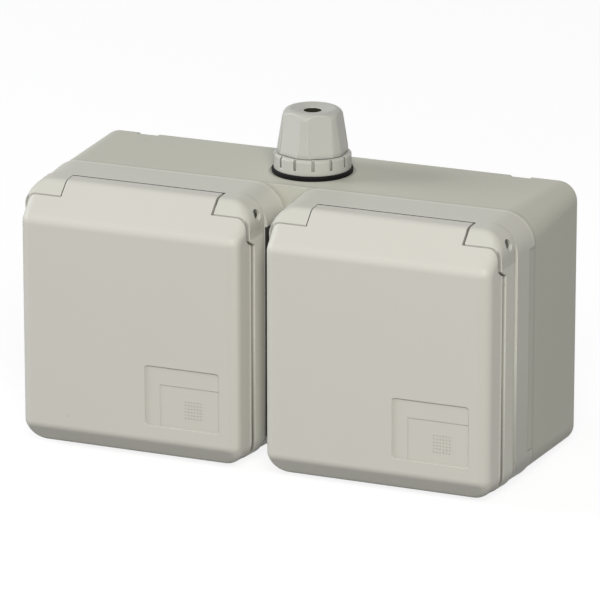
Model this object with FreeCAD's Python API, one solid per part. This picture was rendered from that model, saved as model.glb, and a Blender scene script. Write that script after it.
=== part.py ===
import FreeCAD, Part
import math
import os

os.makedirs("parts", exist_ok=True)
Vec = FreeCAD.Vector

# The frame: wall face at y = 0, fronts towards -Y, +Z up, x = 0 midway between the two sockets.

# Cover and lid, the outside form
unit_gap = 2.4
cover_width = 72.6
cover_height = 78.0
cover_corner = 9.0
cover_draft = 0.05
base_depth = 35.3
flange_depth = 11.5
neck_depth = 6.2
neck_inset = 0.7
neck_corner = 7.0
cover_wall = 2.2
cover_shoulder_round = 3.0
lap_height = 3.2
lap_thickness = 0.55
lap_clearance = 0.1
lap_from_corner = 0.5
lid_side_inset = 0.9
lid_corner = 6.0
lid_depth = 9.6
lid_wall = 2.2
lid_gap = 0.35
lid_edge_round = 3.0
lid_fold_round = 4.0
facet_round = 3.0
slope_depth = 10.0
slope_height = 9.4
facet_depth = 4.0
facet_height = 5.5
label_width = 22.8
label_height = 17.6
label_depth = 0.35
label_corner = 1.0
label_centre_x = 16.4
label_centre_z = -19.0
label_inner_drop = 5.3
label_inner_start = 4.5
label_inner_depth = 0.12

# Hinge
pin_diameter = 2.2
pin_below_top = 4.5
pin_behind_gap = 2.6
pin_hole_diameter = 3.2
pin_hole_depth = 2.0
pin_end_recess = 0.9
pin_end_chamfer = 0.3
running_clearance = 0.05
tongue_width = 46.0
tongue_play = 0.4
knuckle_radius = 5.0
trough_clearance = 0.25
ear_arc_radius = 8.2
ear_front = 2.9
ear_lean = 0.07
spring_wire = 0.8
spring_mean_diameter = 4.9
spring_turns = 9
spring_pitch = 0.95
spring_pocket_radius = 3.9
spring_pocket_length = 14.0
spring_pocket_open = 54.0
spring_pocket_reach = 8.0
spring_pocket_drop = 9.0

# Base box
base_draft = 0.003
base_step = 0.3
base_rear_corner = 5.5
base_rear_round = 0.6
base_wall = 2.4
back_wall = 2.6
bridge_width = 7.2
bridge_depth = 5.0
fixing_spacing_x = 104.0
fixing_spacing_z = 52.0
fixing_slot_width = 4.8
fixing_slot_length = 8.0
post_diameter = 7.0
pilot_diameter = 2.4
rim_notch_radius = 3.6
rim_notch_depth = 2.0
rim_notch_reach = 1.8
rim_notch_left = 58.8
rim_notch_right = 56.4
knockout_radius = 8.2
knockout_groove = 0.8
knockout_groove_width = 1.0
seat_clearance = 0.2

# Cover plate, sealing rim and screws
plate_depth_in = 4.0
plate_thickness = 2.4
face_clearance = 0.65
rim_thickness = 2.0
rim_height = 5.6
cover_screw_from_side = 8.8
cover_screw_from_bottom = 9.0
cover_screw_from_top = 20.0
cover_screw_diameter = 3.0
cover_screw_grip = 9.0
insert_screw_grip = 7.0
face_screw_diameter = 2.4
face_screw_grip = 7.0
screw_fit = 0.03
screw_hole_clearance = 0.3
screw_head_diameter = 5.8
screw_head_height = 2.2
screw_head_round = 0.6
screw_slot_width = 0.8
screw_slot_depth = 1.0
gasket_thickness = 0.8
gasket_width = 0.95
lid_seal_thickness = 2.0
lid_seal_width = 4.0
seat_wall = 1.0
seat_play = 0.2
seat_root = 0.2

# Socket insert
recess_diameter = 39.5
recess_depth = 17.5
pot_wall = 2.6
pot_floor = 3.0
pot_collar_overlap = 4.0
pot_collar_thickness = 2.0
pin_spacing = 19.0
pin_bore = 5.4
guide_width = 6.0
guide_height = 1.6
clip_width = 5.0
clip_thickness = 0.8
clip_reach = 2.2
carrier_width = 36.0
carrier_height = 26.0
carrier_depth = 13.0
lug_reach = 6.0
lug_thickness = 3.0
lug_diameter = 8.0
sleeve_bore = 4.9
sleeve_wall = 0.7
sleeve_length = 11.0
terminal_size = 7.0

# Cable gland
gland_depth = 18.1
spigot_diameter = 16.0
gland_bore = 11.0
washer_diameter = 23.2
washer_thickness = 1.4
collar_diameter = 22.1
collar_height = 4.6
collar_chamfer = 0.6
collar_grooves = 13
collar_groove_width = 0.9
collar_groove_depth = 0.7
collar_groove_base = 1.3
collar_turn = 16.5
dome_diameter = 20.2
dome_top_diameter = 16.8
dome_height = 12.5
dome_straight = 1.2
dome_round = 2.4
dome_dish_diameter = 12.4
dome_dish_depth = 0.7
dome_flats = 6
dome_flat_depth = 0.55
dome_flat_width = 7.0
dome_flat_turn = 6.7
dome_top_thickness = 6.0
cable_bore = 5.2
neck_above_collar = 6.0
spigot_below = 9.0
lock_nut_across = 20.0
lock_nut_height = 4.0
thread_clearance = 0.1
insert_clearance = 0.3

# Places that follow from the sizes above
parting_y = -base_depth
ridge_y = parting_y - flange_depth
gap_y = ridge_y - neck_depth
front_y = gap_y - lid_depth
cover_half_width = cover_width / 2
cover_half_height = cover_height / 2
unit_pitch = cover_width + unit_gap
beyond = cover_width
face_opening_diameter = recess_diameter + 2 * pot_wall + 2 * face_clearance
pot_collar_diameter = face_opening_diameter + 2 * pot_collar_overlap
lug_spacing = carrier_width + 2 * lug_reach
lap_half = cover_half_height - cover_corner - lap_from_corner
lap_inset = base_step + lap_thickness + lap_clearance
gasket_inset = lap_inset + lap_clearance


def half_width_at(y, inset=0.0):
    return cover_half_width - inset - cover_draft * (parting_y - y)


def half_height_at(y):
    return cover_half_height - cover_draft * (parting_y - y)


pin_y = gap_y + pin_behind_gap
pin_z = half_height_at(pin_y) - pin_below_top
plate_front_y = gap_y + plate_depth_in
plate_back_y = plate_front_y + plate_thickness
face_front_y = plate_front_y - rim_height + 1.6
recess_floor_y = face_front_y + recess_depth
pot_back_y = recess_floor_y + pot_floor
strap_back_y = pot_back_y + clip_thickness + seat_clearance
carrier_front_y = strap_back_y + seat_clearance
carrier_back_y = carrier_front_y + carrier_depth
gland_y = -gland_depth
tongue_half = tongue_width / 2


def box(x0, x1, y0, y1, z0, z1):
    return Part.makeBox(x1 - x0, y1 - y0, z1 - z0, Vec(x0, y0, z0))


def rod(radius, start, direction, length):
    return Part.makeCylinder(radius, length, Vec(*start), Vec(*direction))


def rounded_wire(y, half_w, half_h, corner, centre_x=0.0, centre_z=0.0):
    edges = []
    k = corner * (1 - math.sqrt(0.5))
    quarters = ((1, 1), (-1, 1), (-1, -1), (1, -1))
    ends = []
    for sx, sz in quarters:
        side = Vec(centre_x + sx * half_w, y, centre_z + sz * (half_h - corner))
        flat = Vec(centre_x + sx * (half_w - corner), y, centre_z + sz * half_h)
        mid = Vec(centre_x + sx * (half_w - k), y, centre_z + sz * (half_h - k))
        first, last = (side, flat) if sx == sz else (flat, side)
        edges.append(Part.Arc(first, mid, last).toShape())
        ends.append((first, last))
    for i in range(4):
        edges.append(Part.makeLine(ends[i][1], ends[(i + 1) % 4][0]))
    return Part.Wire(Part.__sortEdges__(edges))


def drafted_block(rear, front, centre_x=0.0):
    wires = [rounded_wire(y, w, h, r, centre_x) for y, w, h, r in (rear, front)]
    return Part.makeLoft(wires, True, True)


def rounded_ring(y, depth, outer, wall):
    half_w, half_h, corner = outer
    solids = []
    for inset in (0.0, wall):
        wire = rounded_wire(y, half_w - inset, half_h - inset, max(corner - inset, 0.5))
        solids.append(Part.Face(wire).extrude(Vec(0, depth, 0)))
    return solids[0].cut(solids[1])


def prism_x(points, x0, x1):
    corners = [Vec(x0, y, z) for y, z in points]
    face = Part.Face(Part.makePolygon(corners + corners[:1]))
    return face.extrude(Vec(x1 - x0, 0, 0))


def slotted_screw(start, shank_length, shank_radius):
    x, y, z = start
    head_r = screw_head_diameter / 2
    screw = rod(head_r, (x, y - screw_head_height, z), (0, 1, 0), screw_head_height)
    rim = [e for e in screw.Edges if abs(e.CenterOfMass.y - (y - screw_head_height)) < 0.01]
    screw = screw.makeFillet(screw_head_round, rim)
    screw = screw.fuse(rod(shank_radius, (x, y, z), (0, 1, 0), shank_length))
    top = y - screw_head_height
    slot = box(x - head_r - 1, x + head_r + 1, top - 1, top + screw_slot_depth,
               z - screw_slot_width / 2, z + screw_slot_width / 2)
    return screw.cut(slot)


def slope_prism(shift=0.0):
    # Everything above the hinge slope, which falls towards the front
    top = half_height_at(front_y + slope_depth)
    corners = [(front_y - slope_depth, top - 2 * slope_height - shift),
               (front_y + 2 * slope_depth, top + slope_height - shift),
               (front_y - slope_depth, top + slope_height + 10)]
    return prism_x(corners, -beyond, beyond)


def facet_prism(shift=0.0):
    low = half_height_at(front_y + facet_depth)
    corners = [(front_y - facet_depth, -low + 2 * facet_height + shift),
               (front_y + 2 * facet_depth, -low - facet_height + shift),
               (front_y - facet_depth, -low - facet_height - 10)]
    return prism_x(corners, -beyond, beyond)


def slope_offset(point):
    # Height of a point above the hinge slope, square to it
    top_y = front_y + slope_depth
    rise = (point.z - half_height_at(top_y)) * slope_depth - (point.y - top_y) * slope_height
    return rise / math.hypot(slope_depth, slope_height)


def soften_slope(block, fold_round, side_round, with_front):
    """Round the fold between slope and front, then the slope's side edges."""
    folds = [e for e in block.Edges if e.BoundBox.YLength < 0.01 and e.BoundBox.XLength > 30
             and abs(e.CenterOfMass.y - front_y) < 0.01 and e.CenterOfMass.z > 0]
    block = block.makeFillet(fold_round, folds)
    chain = []
    for edge in block.Edges:
        points = [v.Point for v in edge.Vertexes]
        if max(p.y for p in points) > front_y + slope_depth - 0.5:
            continue
        if edge.BoundBox.XLength > 30:
            if edge.CenterOfMass.z < 0 and abs(edge.CenterOfMass.y - front_y) < 0.01 and with_front:
                chain.append(edge)
            continue
        on_front = all(abs(p.y - front_y) < 0.01 for p in points)
        if on_front or all(abs(slope_offset(p)) < 0.9 or p.y < front_y + 2 for p in points):
            chain.append(edge)
    return block.makeFillet(side_round, chain)


# Lid envelope: drafted block with the hinge slope at the top and a facet at the bottom
def lid_block(inset, front):
    rear_y = gap_y + pin_behind_gap + knuckle_radius
    sections = [(y, half_width_at(y, neck_inset + lid_side_inset) - inset, half_height_at(y) - inset,
                 lid_corner - inset / 2) for y in (rear_y, front)]
    block = drafted_block(*sections)
    return block.cut(slope_prism(inset * math.hypot(slope_depth, slope_height) / slope_depth))


def cut_facet(block, inset):
    return block.cut(facet_prism(inset * math.hypot(facet_depth, facet_height) / facet_depth))


def ear_zone(gap, x0, x1):
    # The space behind the lid: everything behind the gap plane and the ear above it
    foot_z = pin_z - math.sqrt(ear_arc_radius ** 2 - (pin_behind_gap + ear_front) ** 2)
    ear_y = gap_y - ear_front - gap
    lean = [(0.0, foot_z - 12), (0.0, beyond), (ear_y - ear_lean * (beyond - foot_z), beyond),
            (ear_y, foot_z), (ear_y + ear_lean * 12, foot_z - 12)]
    ear = prism_x(lean, x0, x1)
    ear = ear.common(rod(ear_arc_radius + gap, (x0, pin_y, pin_z), (1, 0, 0), x1 - x0))
    behind = box(x0, x1, gap_y - gap, 0.0, -beyond, beyond)
    return ear.fuse(behind)


def make_lid():
    outer = cut_facet(soften_slope(lid_block(0.0, front_y), lid_fold_round, lid_edge_round, True), 0.0)
    fold_z = facet_height - half_height_at(front_y + facet_depth)
    folds = [e for e in outer.Edges if e.BoundBox.YLength < 0.01 and e.BoundBox.XLength > 20
             and abs(e.CenterOfMass.z - fold_z) < 0.01 and e.CenterOfMass.y < front_y + 0.01]
    outer = outer.makeFillet(facet_round, folds)
    shell = outer.cut(cut_facet(lid_block(lid_wall, front_y + lid_wall), lid_wall))
    full = rod(knuckle_radius, (-tongue_half, pin_y, pin_z), (1, 0, 0), tongue_width)
    lid = shell.fuse(full.common(outer))
    for x0, x1 in ((-beyond, -tongue_half), (tongue_half, beyond)):
        lid = lid.cut(ear_zone(lid_gap, x0, x1))
    middle = box(-tongue_half, tongue_half, gap_y - lid_gap, 0.0, -beyond, beyond)
    lid = lid.cut(middle.cut(full))
    lid = lid.cut(rod(pin_diameter / 2 + running_clearance, (-beyond, pin_y, pin_z), (1, 0, 0), 2 * beyond))
    # pocket for the spring, open downwards and to the rear
    half_pocket = spring_pocket_length / 2
    pocket = rod(spring_pocket_radius, (-half_pocket, pin_y, pin_z), (1, 0, 0), spring_pocket_length)
    back = pin_y + spring_pocket_reach
    pocket = pocket.fuse(box(-half_pocket, half_pocket, pin_y - spring_pocket_radius, back,
                             pin_z - spring_pocket_drop, pin_z))
    rise = spring_pocket_reach * math.tan(math.radians(spring_pocket_open))
    wedge = [(pin_y, pin_z - 1), (pin_y, pin_z), (back, pin_z + rise), (back, pin_z - 1)]
    pocket = pocket.fuse(prism_x(wedge, -half_pocket, half_pocket))
    lid = lid.cut(pocket)
    # shallow bare label field, a little deeper in its lower part
    wire = rounded_wire(front_y, label_width / 2, label_height / 2, label_corner, label_centre_x,
                        label_centre_z)
    lid = lid.cut(Part.Face(wire).extrude(Vec(0, label_depth, 0)))
    x0 = label_centre_x - label_width / 2 + label_inner_start
    z1 = label_centre_z + label_height / 2 - label_inner_drop
    lower = Part.Face(wire).extrude(Vec(0, label_depth + label_inner_depth, 0))
    lid = lid.cut(lower.common(box(x0, x0 + label_width, front_y, gap_y, z1 - label_height, z1)))
    # seat that holds the seal ring inside the lid
    seat_r = face_opening_diameter / 2 + rim_thickness / 2 + lid_seal_width / 2
    inner_y = front_y + lid_wall
    seat_y = plate_front_y - rim_height - lid_seal_thickness
    root_y = inner_y - seat_root
    collar = rod(seat_r + seat_wall + seat_play, (0, root_y, 0), (0, 1, 0), seat_y + 1.0 - root_y)
    lid = lid.fuse(collar.cut(rod(seat_r + seat_play, (0, root_y - 1, 0), (0, 1, 0), lid_depth)))
    backing = rod(seat_r + 2 * seat_play, (0, root_y, 0), (0, 1, 0), seat_y - running_clearance - root_y)
    backing = backing.cut(rod(seat_r - lid_seal_width, (0, root_y - 1, 0), (0, 1, 0), lid_depth))
    return lid.fuse(backing).removeSplitter()


def ear_inner_sides():
    # The tongue's gap is wider on the right by the lid's sideways play
    return -tongue_half - lid_gap, tongue_half + lid_gap + tongue_play


def trough():
    x0, x1 = ear_inner_sides()
    return rod(knuckle_radius + trough_clearance, (x0, pin_y, pin_z), (1, 0, 0), x1 - x0)


def cover_screw_places():
    x = cover_half_width - cover_screw_from_side
    heights = (cover_screw_from_bottom - cover_half_height, cover_half_height - cover_screw_from_top)
    return [(sx * x, z) for sx in (-1, 1) for z in heights]


def cover_envelope(inset):
    # Flange, then the slightly narrower neck up to the front of the ears
    flange = drafted_block(
        (parting_y, half_width_at(parting_y) - inset, half_height_at(parting_y) - inset,
         cover_corner - inset / 2),
        (ridge_y, half_width_at(ridge_y) - inset, half_height_at(ridge_y) - inset,
         cover_corner - inset / 2))
    neck = drafted_block(
        (ridge_y, half_width_at(ridge_y, neck_inset) - inset, half_height_at(ridge_y) - inset,
         neck_corner - inset / 2),
        (front_y, half_width_at(front_y, neck_inset) - inset, half_height_at(front_y) - inset,
         neck_corner - inset / 2))
    return flange, neck


def lap_zone(outer_inset, inner_inset, depth):
    # A strip along both side walls, measured in from the cover's outer face
    strips = []
    for sx in (-1, 1):
        x0, x1 = sorted(sx * (cover_half_width - inset) for inset in (outer_inset, inner_inset))
        strips.append(box(x0, x1, parting_y - depth, parting_y + 1, -lap_half, lap_half))
    return strips


def make_cover_frame():
    flange, neck = cover_envelope(0.0)
    neck = soften_slope(neck.cut(slope_prism()), lid_fold_round, cover_shoulder_round, False)
    neck = neck.common(ear_zone(0.0, -beyond, beyond))
    inner_flange, inner_neck = cover_envelope(cover_wall)
    inner = inner_flange.fuse(inner_neck)
    shell = flange.fuse(neck)
    # the plate closes the neck; in front of it only the ears and the side walls stay
    room_behind = inner.common(box(-beyond, beyond, plate_back_y, 0, -beyond, beyond))
    ear_left, ear_right = ear_inner_sides()
    ears_low = pin_z - ear_arc_radius
    well = inner.common(box(-beyond, beyond, front_y - 5, plate_front_y, -beyond, ears_low))
    well = well.fuse(box(ear_left, ear_right, front_y - 5, plate_front_y, ears_low - 1, pin_z))
    frame = shell.cut(room_behind).cut(well).cut(trough())
    frame = frame.cut(box(ear_left, ear_right, front_y - 5, pin_y, pin_z - 1, beyond))
    # plate that carries the trough of the hinge
    back_radius = knuckle_radius + trough_clearance + cover_wall
    cradle = rod(back_radius, (ear_left - 1, pin_y, pin_z), (1, 0, 0), ear_right - ear_left + 2)
    cradle = cradle.common(inner).common(box(-beyond, beyond, plate_front_y, 0, -beyond, beyond))
    frame = frame.fuse(cradle.cut(trough()))
    # round sealing rim
    opening_r = face_opening_diameter / 2
    rim = rod(opening_r + rim_thickness, (0, plate_front_y - rim_height, 0), (0, 1, 0),
              rim_height + plate_thickness)
    frame = frame.fuse(rim)
    frame = frame.cut(rod(opening_r, (0, front_y, 0), (0, 1, 0), plate_back_y - front_y + 1))
    # posts for the cover screws
    for x, z in cover_screw_places():
        post = rod(post_diameter / 2, (x, plate_front_y, z), (0, 1, 0), parting_y - plate_front_y)
        frame = frame.fuse(post)
        frame = frame.cut(rod(cover_screw_diameter / 2 + screw_hole_clearance, (x, front_y, z), (0, 1, 0),
                              parting_y - front_y + 1))
    # hinge pin bore, wider at the outside
    frame = frame.cut(rod(pin_diameter / 2 + running_clearance, (-beyond, pin_y, pin_z), (1, 0, 0), 2 * beyond))
    for sx in (-1, 1):
        start = (sx * (half_width_at(pin_y, neck_inset) - pin_hole_depth), pin_y, pin_z)
        frame = frame.cut(rod(pin_hole_diameter / 2, start, (sx, 0, 0), cover_half_width))
    # rebates for the base's side laps, and the groove for the gasket
    for strip in lap_zone(-1.0, lap_inset, lap_height):
        frame = frame.cut(strip)
    return frame.cut(gasket_ring(parting_y - gasket_thickness, gasket_thickness + 1)).removeSplitter()


def gasket_ring(y, depth):
    inset = gasket_inset
    outer = (cover_half_width - inset, cover_half_height - inset, cover_corner - inset)
    return rounded_ring(y, depth, outer, gasket_width)


def pin_end_x():
    return half_width_at(pin_y, neck_inset) - pin_end_recess


def make_hinge_pin():
    half = pin_end_x()
    pin = rod(pin_diameter / 2, (-half, pin_y, pin_z), (1, 0, 0), 2 * half)
    ends = [e for e in pin.Edges if abs(abs(e.CenterOfMass.x) - half) < 0.01]
    return pin.makeChamfer(pin_end_chamfer, ends)


def make_hinge_spring():
    radius = spring_mean_diameter / 2
    length = spring_turns * spring_pitch
    helix = Part.makeHelix(spring_pitch, length, radius)
    profile = Part.Wire(Part.makeCircle(spring_wire / 2, Vec(radius, 0, 0), Vec(0, 1, 0)))
    coil = Part.Wire(helix).makePipeShell([profile], True, True)
    if coil.Volume < 0:
        coil.reverse()
    coil.rotate(Vec(0, 0, 0), Vec(0, 1, 0), 90)
    coil.translate(Vec(-length / 2, pin_y, pin_z))
    # the coil's wire starts and ends on the same side; each end runs on as a straight leg
    leg = spring_wire / 2
    reach = knuckle_radius - 0.4
    rear = rod(leg, (length / 2, pin_y + radius, pin_z + 0.5), (0, 0, -1), reach)
    near = rod(leg, (-length / 2, pin_y - radius, pin_z + 0.5), (0, 0, -1), reach + 1.5)
    return coil, rear, near


def make_cover_gasket():
    # squeezed between the groove in the cover and the rim of the base
    return gasket_ring(parting_y - gasket_thickness, gasket_thickness)


def make_lid_seal():
    mid_r = face_opening_diameter / 2 + rim_thickness / 2
    seal_y = plate_front_y - rim_height - lid_seal_thickness
    seal = rod(mid_r + lid_seal_width / 2, (0, seal_y, 0), (0, 1, 0), lid_seal_thickness - 0.1)
    return seal.cut(rod(mid_r - lid_seal_width / 2, (0, seal_y - 1, 0), (0, 1, 0), 5))


def make_cover_screws():
    screws = []
    length = parting_y - plate_front_y + cover_screw_grip
    for x, z in cover_screw_places():
        screws.append(slotted_screw((x, plate_front_y, z), length, cover_screw_diameter / 2))
    return Part.makeCompound(screws)


def make_socket_face():
    recess_r = recess_diameter / 2
    pot = rod(recess_r + pot_wall, (0, face_front_y, 0), (0, 1, 0), pot_back_y - face_front_y)
    lip = [e for e in pot.Edges if abs(e.CenterOfMass.y - face_front_y) < 0.01]
    pot = pot.makeFillet(0.8, lip)
    collar = rod(pot_collar_diameter / 2, (0, plate_back_y + seat_clearance, 0), (0, 1, 0),
                 pot_collar_thickness)
    face = pot.fuse(collar)
    face = face.cut(rod(recess_r, (0, face_front_y - 1, 0), (0, 1, 0), recess_depth + 1))
    # guide ribs beside the pin holes
    for sx in (-1, 1):
        x0, x1 = sorted((sx * (recess_r - guide_height), sx * (recess_r + pot_wall / 2)))
        face = face.fuse(box(x0, x1, face_front_y + 3, recess_floor_y + 1, -guide_width / 2,
                             guide_width / 2))
        face = face.cut(rod(pin_bore / 2, (sx * pin_spacing / 2, recess_floor_y - 1, 0), (0, 1, 0),
                            pot_floor + 2))
    # slots for the earth clips
    slot_half = clip_width / 2 + 0.5
    for sz in (-1, 1):
        z0, z1 = sorted((sz * (recess_r - 1.0), sz * (recess_r + clip_thickness + 1.0)))
        face = face.cut(box(-slot_half, slot_half, face_front_y + 2.5, pot_back_y + 1, z0, z1))
    hole = rod(cover_screw_diameter / 2 + screw_hole_clearance, (0, recess_floor_y - 1, 0), (0, 1, 0),
               pot_floor + 2)
    return face.cut(hole).removeSplitter()


def make_earth_bracket():
    # One bent strip: across the back of the pot, forward on both sides, clips bowed into the recess
    recess_r = recess_diameter / 2
    leg_z = recess_r + 0.3
    t = clip_thickness
    back_y = pot_back_y + seat_clearance
    tip_y = face_front_y + 4.0
    bow_y = tip_y + 5.0
    points = [(back_y + t, 0), (back_y + t, leg_z + t), (bow_y + 6, leg_z + t),
              (bow_y, leg_z + t - clip_reach), (tip_y, leg_z + t),
              (tip_y, leg_z), (bow_y, leg_z - clip_reach), (bow_y + 6, leg_z), (back_y, leg_z),
              (back_y, 0)]
    upper = prism_x(points, -clip_width / 2, clip_width / 2)
    lower = upper.mirror(Vec(0, 0, 0), Vec(0, 0, 1))
    strap = upper.fuse(lower).removeSplitter()
    lug = box(-clip_width / 2, clip_width / 2 + terminal_size, back_y, back_y + t, -4, 4)
    strap = strap.fuse(lug)
    hole = rod(cover_screw_diameter / 2 + screw_hole_clearance, (0, back_y - 1, 0), (0, 1, 0), t + 2)
    return strap.cut(hole)


def terminal_places():
    z = -carrier_height / 2 + terminal_size / 2 + 1.0
    return {"line": (-pin_spacing / 2, z), "neutral": (pin_spacing / 2, z)}


def make_contact(side):
    x, z = terminal_places()[side]
    start = carrier_front_y + seat_clearance
    radius = sleeve_bore / 2
    sleeve = rod(radius + sleeve_wall, (x, start, 0), (0, 1, 0), sleeve_length)
    half = terminal_size / 2
    block = box(x - half, x + half, start, start + sleeve_length, z - half, z + half)
    arm = box(x - 2, x + 2, start + 2, start + sleeve_length, z, -radius)
    contact = sleeve.fuse(arm).fuse(block)
    contact = contact.cut(rod(radius, (x, start - 1, 0), (0, 1, 0), sleeve_length + 2))
    contact = contact.cut(box(x - 0.5, x + 0.5, start - 1, start + sleeve_length - 2, 0, radius + 2))
    contact = contact.cut(rod(1.25, (x, start - 1, z), (0, 1, 0), sleeve_length + 2))
    contact = contact.cut(rod(2.5, (x, start - 1, z), (0, 1, 0), 2.2))
    wire_way = rod(1.3, (x, start + sleeve_length / 2 + 2, z - half - 1), (0, 0, 1), terminal_size)
    return contact.cut(wire_way)


def make_carrier():
    half_w, half_h = carrier_width / 2, carrier_height / 2
    carrier = box(-half_w, half_w, carrier_front_y, carrier_back_y, -half_h, half_h)
    upright = [e for e in carrier.Edges
               if abs(abs(e.CenterOfMass.x) - half_w) < 0.01 and abs(abs(e.CenterOfMass.z) - half_h) < 0.01]
    carrier = carrier.makeFillet(2.0, upright)
    # lugs on both sides for the fixing screws
    lug_y = carrier_back_y - lug_thickness
    for sx in (-1, 1):
        x = sx * lug_spacing / 2
        lug = rod(lug_diameter / 2, (x, lug_y, 0), (0, 1, 0), lug_thickness)
        x0, x1 = sorted((sx * (half_w - 1), x))
        lug = lug.fuse(box(x0, x1, lug_y, carrier_back_y, -lug_diameter / 2, lug_diameter / 2))
        lug = lug.cut(rod(cover_screw_diameter / 2 + screw_hole_clearance, (x, lug_y - 1, 0), (0, 1, 0),
                          lug_thickness + 2))
        carrier = carrier.fuse(lug)
    # chambers for the contacts and their terminals
    gap = 0.25
    room = sleeve_length + 2 * seat_clearance
    for x, z in terminal_places().values():
        chamber = rod(sleeve_bore / 2 + sleeve_wall + gap, (x, carrier_front_y - 1, 0), (0, 1, 0), room + 1)
        half = terminal_size / 2 + gap
        chamber = chamber.fuse(box(x - half, x + half, carrier_front_y - 1, carrier_front_y + room,
                                   z - half, z + half))
        chamber = chamber.fuse(box(x - 2 - gap, x + 2 + gap, carrier_front_y - 1, carrier_front_y + room,
                                   z, 0))
        carrier = carrier.cut(chamber)
        carrier = carrier.cut(rod(1.6, (x, carrier_front_y + sleeve_length / 2 + 2, -half_h - 1),
                                  (0, 0, 1), terminal_size))
    hole = rod(face_screw_diameter / 2, (0, carrier_front_y - 1, 0), (0, 1, 0), carrier_depth - 1)
    return carrier.cut(hole).removeSplitter()


def make_terminal_screws():
    screws = []
    for x, z in terminal_places().values():
        y = carrier_front_y + seat_clearance - 0.3
        screw = rod(1.2, (x, y + 1.4, z), (0, 1, 0), sleeve_length / 2 - 1)
        head = rod(2.4, (x, y - 0.4, z), (0, 1, 0), 1.8)
        screws.append(screw.fuse(head))
    return Part.makeCompound(screws)


def make_insert_screws():
    screws = []
    lug_y = carrier_back_y - lug_thickness
    for sx in (-1, 1):
        start = (sx * lug_spacing / 2, lug_y, 0)
        screws.append(slotted_screw(start, lug_thickness + insert_screw_grip, pilot_diameter / 2 - screw_fit))
    return Part.makeCompound(screws)


def make_face_screw():
    start = (0, recess_floor_y, 0)
    length = carrier_front_y + face_screw_grip - recess_floor_y
    return slotted_screw(start, length, face_screw_diameter / 2 - screw_fit)


def make_base():
    half_w = unit_pitch / 2 + cover_half_width - base_step
    half_h = cover_half_height - base_step
    shrink = base_draft * base_depth
    corner = cover_corner - base_step
    outer = drafted_block((0.0, half_w - shrink, half_h - shrink, base_rear_corner),
                          (parting_y, half_w, half_h, corner))
    rear_edges = [e for e in outer.Edges if abs(e.CenterOfMass.y) < 0.01]
    outer = outer.makeFillet(base_rear_round, rear_edges)
    w = base_wall
    inner = drafted_block((-back_wall, half_w - shrink - w, half_h - shrink - w, base_rear_corner - w / 2),
                          (parting_y - 1, half_w - w, half_h - w, corner - w))
    base = outer.cut(inner)
    bridge = box(-bridge_width / 2, bridge_width / 2, parting_y, parting_y + bridge_depth,
                 -half_h + w / 2, half_h - w / 2)
    base = base.fuse(bridge)
    # thin tabs that stand up from the outer sides and lap into the covers
    for sx, cx in ((-1, -unit_pitch / 2), (1, unit_pitch / 2)):
        tab = lap_zone(base_step, base_step + lap_thickness, lap_height - lap_clearance)[(sx + 1) // 2]
        tab = tab.common(box(-beyond, beyond, -beyond, 0, lap_clearance - lap_half, lap_half - lap_clearance))
        tab.translate(Vec(cx, 0, 0))
        base = base.fuse(tab)
    for cx in (-unit_pitch / 2, unit_pitch / 2):
        for x, z in cover_screw_places():
            base = base.fuse(rod(post_diameter / 2, (cx + x, parting_y + seat_clearance, z), (0, 1, 0),
                                 base_depth - seat_clearance - back_wall / 2))
            base = base.cut(rod(pilot_diameter / 2 + 0.35, (cx + x, parting_y - 1, z), (0, 1, 0),
                                cover_screw_grip + 4))
        for sx in (-1, 1):
            x = cx + sx * lug_spacing / 2
            top = carrier_back_y + seat_clearance
            base = base.fuse(rod(post_diameter / 2, (x, top, 0), (0, 1, 0), -top - back_wall / 2))
            base = base.cut(rod(pilot_diameter / 2, (x, top - 1, 0), (0, 1, 0), insert_screw_grip + 2))
    # slotted holes for the wall screws
    reach = (fixing_slot_length - fixing_slot_width) / 2
    radius = fixing_slot_width / 2
    for x in (-fixing_spacing_x / 2, fixing_spacing_x / 2):
        for z in (-fixing_spacing_z / 2, fixing_spacing_z / 2):
            slot = box(x - reach, x + reach, -back_wall - 2, 1, z - radius, z + radius)
            for sx in (-1, 1):
                slot = slot.fuse(rod(radius, (x + sx * reach, -back_wall - 2, z), (0, 1, 0), back_wall + 3))
            base = base.cut(slot)
    # cable entry for the gland, and two blind entries in the underside
    base = base.cut(rod(spigot_diameter / 2 + thread_clearance, (0, gland_y, half_h - 8), (0, 0, 1), 12))
    base = base.cut(rod(washer_diameter / 2 + 0.6, (0, gland_y, entry_seat_z()), (0, 0, 1), 6))
    for cx in (-unit_pitch / 2, unit_pitch / 2):
        ring = rod(knockout_radius, (cx, gland_y, -half_h - 1), (0, 0, 1), 1 + 2 * knockout_groove)
        ring = ring.cut(rod(knockout_radius - knockout_groove_width, (cx, gland_y, -half_h - 2), (0, 0, 1), 6))
        base = base.cut(ring)
    # two small notches in the top of the rear edge, to lever the box off the wall
    notch_z = half_h - shrink + rim_notch_radius - rim_notch_depth
    for x in (-rim_notch_left, rim_notch_right):
        base = base.cut(rod(rim_notch_radius, (x, -rim_notch_reach, notch_z), (0, 1, 0), rim_notch_reach + 1))
    return base.removeSplitter()


def entry_seat_z():
    # the gland's seat, a shade below the drafted top so that the seat is level
    half_h = cover_half_height - base_step
    return half_h - base_draft * (base_depth - gland_depth + washer_diameter / 2) - 0.15


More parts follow.
